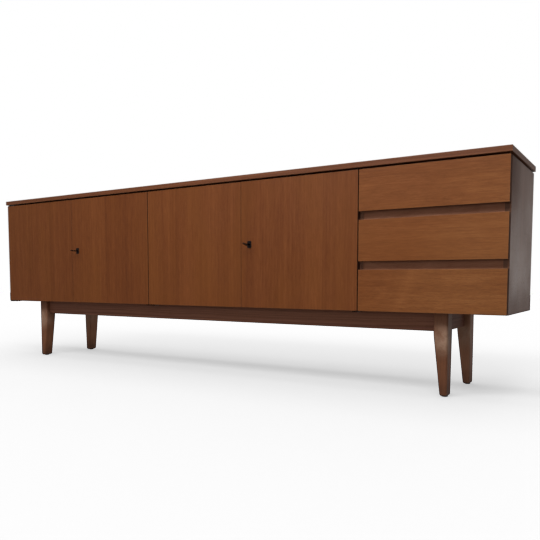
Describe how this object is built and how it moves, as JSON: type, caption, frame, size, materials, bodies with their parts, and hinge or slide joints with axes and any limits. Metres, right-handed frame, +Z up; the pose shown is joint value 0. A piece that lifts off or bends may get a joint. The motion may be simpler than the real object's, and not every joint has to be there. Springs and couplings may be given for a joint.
{
  "type": "sideboard buffet",
  "caption": "Long low teak-veneered sideboard with hinged and locking doors, a column of drawers and a tapered-leg base.",
  "frame": {"origin": "on the floor, below the middle of the overall length and depth (key bows included)", "axes": "+X along the length to the right as seen from the front, the fronts face -Y, +Z up"},
  "size_m": [2.41, 0.442, 0.768],
  "materials": {
    "teak": "satin oiled teak veneer",
    "dark_wood": "satin stained hardwood",
    "inner_wood": "matt veneer",
    "plywood": "matt plywood",
    "beech": "matt beech",
    "black_metal": "worn black lacquer",
    "bronzed_steel": "bronzed",
    "steel": "dull",
    "brass": "aged",
    "plastic": "matt"
  },
  "bodies": {
    "case": {"top_slab": "teak", "top_battens": "dark_wood", "case_top": "inner_wood", "case_bottom": "inner_wood", "side_left": "teak", "side_right": "teak", "partition_left": "inner_wood", "partition_right": "inner_wood", "back_panels": "plywood", "drawer_rails": "dark_wood", "drawer_runners": "beech", "shelf_left": "inner_wood", "shelf_middle": "inner_wood", "shelf_pins": "steel", "leg_front_left": "dark_wood", "leg_front_right": "dark_wood", "leg_rear_left": "dark_wood", "leg_rear_right": "dark_wood", "apron_front": "dark_wood", "apron_rear": "dark_wood", "apron_left": "dark_wood", "apron_right": "dark_wood", "corner_blocks": "beech", "foot_glides": "plastic", "wood_screws": "steel", "hinge_plates": "bronzed_steel", "hinge_screws": "steel", "magnet_catches": "plastic"},
    "door_1": {"door_1": "teak", "door_1_bushes": "brass", "strike_1": "steel", "catch_plate_1": "steel"},
    "door_2": {"door_2": "teak", "door_2_bushes": "brass", "escutcheon_2": "black_metal", "lock_case_2": "steel"},
    "door_3": {"door_3": "teak", "door_3_bushes": "brass", "strike_3": "steel", "catch_plate_3": "steel"},
    "door_4": {"door_4": "teak", "door_4_bushes": "brass", "escutcheon_4": "black_metal", "lock_case_4": "steel"},
    "key_2": {"key_2": "steel"},
    "key_4": {"key_4": "steel"},
    "bolt_2": {"lock_bolt_2": "steel"},
    "bolt_4": {"lock_bolt_4": "steel"},
    "drawer_1": {"drawer_1_front": "teak", "drawer_1_sides": "beech", "drawer_1_back": "beech", "drawer_1_bottom": "plywood"},
    "drawer_2": {"drawer_2_front": "teak", "drawer_2_sides": "beech", "drawer_2_back": "beech", "drawer_2_bottom": "plywood"},
    "drawer_3": {"drawer_3_front": "teak", "drawer_3_sides": "beech", "drawer_3_back": "beech", "drawer_3_bottom": "plywood"}
  },
  "joints": [
    {"name": "door_1_hinge", "type": "hinge", "parent": "case", "child": "door_1", "pos_m": [-1.191, -0.1755, 0.508], "axis": [0, 0, -1], "range_deg": [0, 85]},
    {"name": "door_2_hinge", "type": "hinge", "parent": "case", "child": "door_2", "pos_m": [-0.25075, -0.1755, 0.508], "axis": [0, 0, 1], "range_deg": [0, 85]},
    {"name": "door_3_hinge", "type": "hinge", "parent": "case", "child": "door_3", "pos_m": [-0.22925, -0.1755, 0.508], "axis": [0, 0, -1], "range_deg": [0, 85]},
    {"name": "door_4_hinge", "type": "hinge", "parent": "case", "child": "door_4", "pos_m": [0.70925, -0.1755, 0.508], "axis": [0, 0, 1], "range_deg": [0, 85]},
    {"name": "key_2_turn", "type": "hinge", "parent": "door_2", "child": "key_2", "pos_m": [-0.6814, -0.181, 0.509], "axis": [0, -1, 0], "range_deg": [0, 90]},
    {"name": "bolt_2_slide", "type": "slide", "parent": "door_2", "child": "bolt_2", "axis": [-1, 0, 0], "range_m": [0, 0.009]},
    {"name": "key_4_turn", "type": "hinge", "parent": "door_4", "child": "key_4", "pos_m": [0.2786, -0.181, 0.509], "axis": [0, -1, 0], "range_deg": [0, 90]},
    {"name": "bolt_4_slide", "type": "slide", "parent": "door_4", "child": "bolt_4", "axis": [-1, 0, 0], "range_m": [0, 0.009]},
    {"name": "drawer_1_slide", "type": "slide", "parent": "case", "child": "drawer_1", "axis": [0, -1, 0], "range_m": [0, 0.3]},
    {"name": "drawer_2_slide", "type": "slide", "parent": "case", "child": "drawer_2", "axis": [0, -1, 0], "range_m": [0, 0.3]},
    {"name": "drawer_3_slide", "type": "slide", "parent": "case", "child": "drawer_3", "axis": [0, -1, 0], "range_m": [0, 0.3]}
  ],
  "couplings": [
    {"joint": "bolt_2_slide", "follows": "key_2_turn", "m_per_rad": 0.0057295},
    {"joint": "bolt_4_slide", "follows": "key_4_turn", "m_per_rad": 0.0057295}
  ]
}
